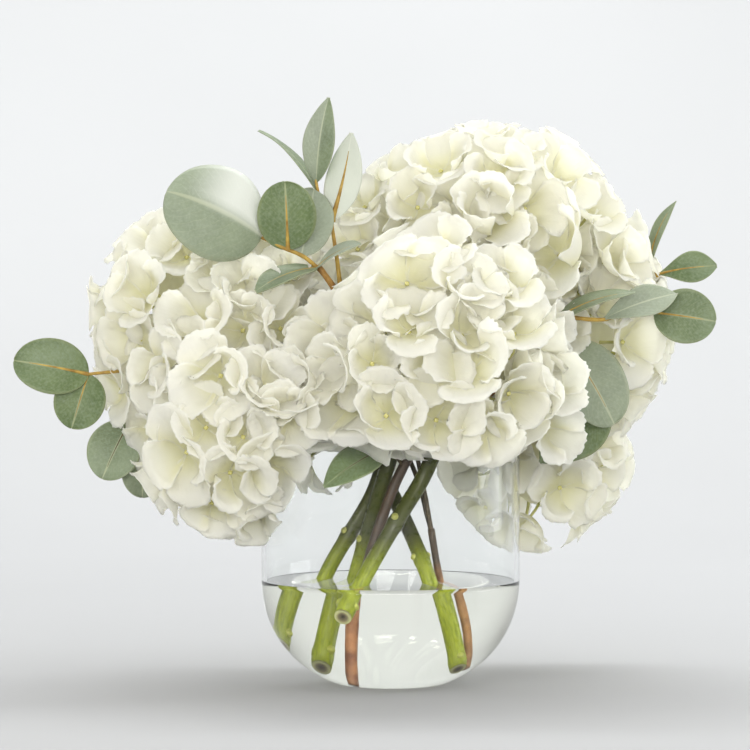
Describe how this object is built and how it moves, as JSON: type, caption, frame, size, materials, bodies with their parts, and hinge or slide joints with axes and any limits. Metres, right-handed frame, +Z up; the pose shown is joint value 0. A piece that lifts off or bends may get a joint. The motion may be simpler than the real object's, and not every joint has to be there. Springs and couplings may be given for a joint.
{
  "type": "floral table centerpiece",
  "caption": "White hydrangea heads and sprays of round-leaved eucalyptus standing in water in a clear, round-bottomed glass vase.",
  "frame": {"origin": "middle of the flat spot under the vase, which stands on the table", "axes": "+Z up along the vase's axis, +X to the right as the picture shows it, +Y away from the front"},
  "size_m": [0.4396, 0.2734, 0.3602],
  "materials": {
    "glass": "clear polished glass",
    "water": "clear still water",
    "green_stem": "smooth green stem with a satin skin",
    "petals": "matte white petals, creamy in their depths",
    "eucalyptus_leaf": "matte grey-green leaf",
    "eucalyptus_wood": "red-brown twig with a satin bark",
    "floret_eye": "matte yellow-green bud"
  },
  "bodies": {
    "root": {"vase": "glass", "water": "water", "stem_front": "green_stem", "stem_middle": "green_stem", "stem_left": "green_stem", "stem_right": "green_stem", "hydrangea_front": "petals", "hydrangea_top": "petals", "hydrangea_right": "petals", "hydrangea_left_low": "petals", "hydrangea_left_high": "petals", "hydrangea_right_low": "petals", "hydrangea_back": "petals", "eucalyptus_right": "eucalyptus_leaf", "eucalyptus_left": "eucalyptus_leaf"}
  },
  "joints": []
}
